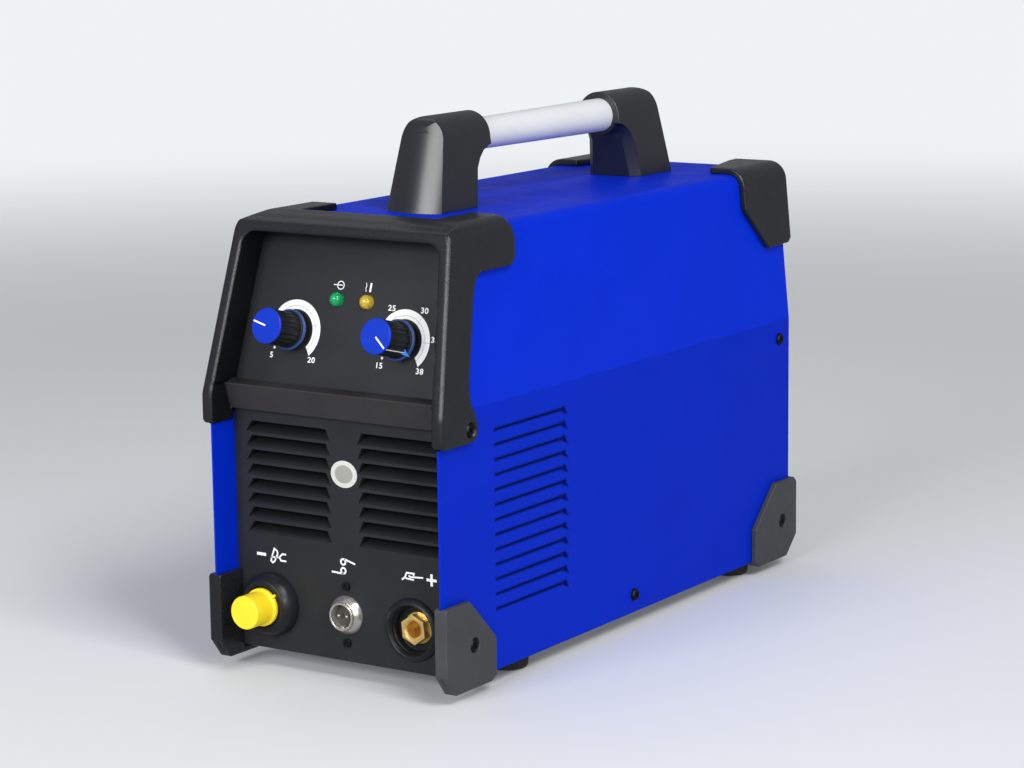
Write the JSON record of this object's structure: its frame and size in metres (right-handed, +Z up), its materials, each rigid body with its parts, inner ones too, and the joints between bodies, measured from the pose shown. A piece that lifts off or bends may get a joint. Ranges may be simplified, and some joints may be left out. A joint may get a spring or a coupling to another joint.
{
  "type": "plasma cutter unit",
  "caption": "Portable inverter plasma cutting power source: blue sheet cover, black moulded hood and corner guards, two control knobs, torch and earth sockets, carry handle.",
  "frame": {"origin": "bottom centre of the whole unit's bounding box, at the soles of the rubber feet", "axes": "+X to the right seen from the front, +Y to the back, +Z up; the control panel faces -Y"},
  "size_m": [0.163, 0.4174, 0.3075],
  "materials": {
    "cover_blue": "gloss powder coat",
    "moulding_black": "satin",
    "panel_black": "satin",
    "pan_steel": "zinc plated",
    "rear_sheet": "black powder coat",
    "foot_rubber": "matte",
    "bar_white": "satin",
    "knob_black": "satin",
    "cap_blue": "satin",
    "cap_yellow": "satin",
    "lens_green": "tinted",
    "lens_amber": "tinted",
    "zinc": "zinc plated",
    "screw_black": "black oxide",
    "nickel": "nickel plated",
    "brass": "turned",
    "silver_trim": "satin",
    "rocker_red": "gloss",
    "fan_black": "satin",
    "board_green": "solder mask",
    "sink_aluminium": "extruded",
    "can_blue": "sleeve",
    "ferrite": "sintered",
    "copper_wire": "enamelled",
    "hose_black": "satin"
  },
  "bodies": {
    "case": {"cover": "cover_blue", "base_pan": "pan_steel", "front_panel": "panel_black", "hood": "moulding_black", "control_plate": "panel_black", "rear_panel": "rear_sheet", "guard_front_left": "moulding_black", "guard_front_right": "moulding_black", "guard_rear_left": "moulding_black", "guard_rear_right": "moulding_black", "guard_top_left": "moulding_black", "guard_top_right": "moulding_black", "rubber_feet": "foot_rubber", "handle_post_front": "moulding_black", "handle_post_rear": "moulding_black", "handle_bar": "bar_white", "potentiometers": "zinc", "lens_green": "lens_green", "lens_amber": "lens_amber", "seal_disc": "silver_trim", "torch_collar": "moulding_black", "torch_fitting": "brass", "signal_shell": "nickel", "signal_insert": "panel_black", "signal_pins": "nickel", "signal_screws": "screw_black", "earth_socket": "moulding_black", "earth_insert": "brass", "switch_frame": "moulding_black", "cable_gland": "moulding_black", "gland_nut": "moulding_black", "air_inlet": "brass", "fan_frame": "fan_black", "fan_guard": "zinc", "fan_screws": "zinc", "main_board": "board_green", "capacitors": "can_blue", "heat_sinks": "sink_aluminium", "power_devices": "panel_black", "board_frame": "pan_steel", "transformer_core": "ferrite", "transformer_coil": "copper_wire", "inductor": "copper_wire", "front_board": "board_green", "board_standoffs": "zinc", "solenoid_valve": "panel_black", "air_hose": "hose_black", "case_screws": "screw_black", "handle_screws": "zinc", "earth_stud": "zinc"},
    "knob_left_body": {"knob_left": "knob_black", "knob_cap_left": "cap_blue", "pot_shaft_left": "zinc"},
    "knob_right_body": {"knob_right": "knob_black", "knob_cap_right": "cap_blue", "pot_shaft_right": "zinc"},
    "fan_body": {"fan_rotor": "fan_black"},
    "rocker_body": {"switch_rocker": "rocker_red"},
    "torch_cap_body": {"torch_cap": "cap_yellow"}
  },
  "joints": [
    {"name": "knob_left_turn", "type": "hinge", "parent": "case", "child": "knob_left_body", "pos_m": [-0.0369, -0.1751, 0.1933], "axis": [0, -0.9703, 0.2419], "range_deg": [-210, 60]},
    {"name": "knob_right_turn", "type": "hinge", "parent": "case", "child": "knob_right_body", "pos_m": [0.0369, -0.1751, 0.1933], "axis": [0, -0.9703, 0.2419], "range_deg": [-3, 267]},
    {"name": "fan_spin", "type": "hinge", "parent": "case", "child": "fan_body", "pos_m": [0, 0.16725, 0.147], "axis": [0, -1, 0], "continuous": true},
    {"name": "power_switch_rock", "type": "hinge", "parent": "case", "child": "rocker_body", "pos_m": [0.036, 0.17875, 0.22], "axis": [1, 0, 0], "range_deg": [-18, 0]},
    {"name": "torch_cap_pull", "type": "slide", "parent": "case", "child": "torch_cap_body", "axis": [0, -1, 0], "range_m": [0, 0.014]}
  ]
}
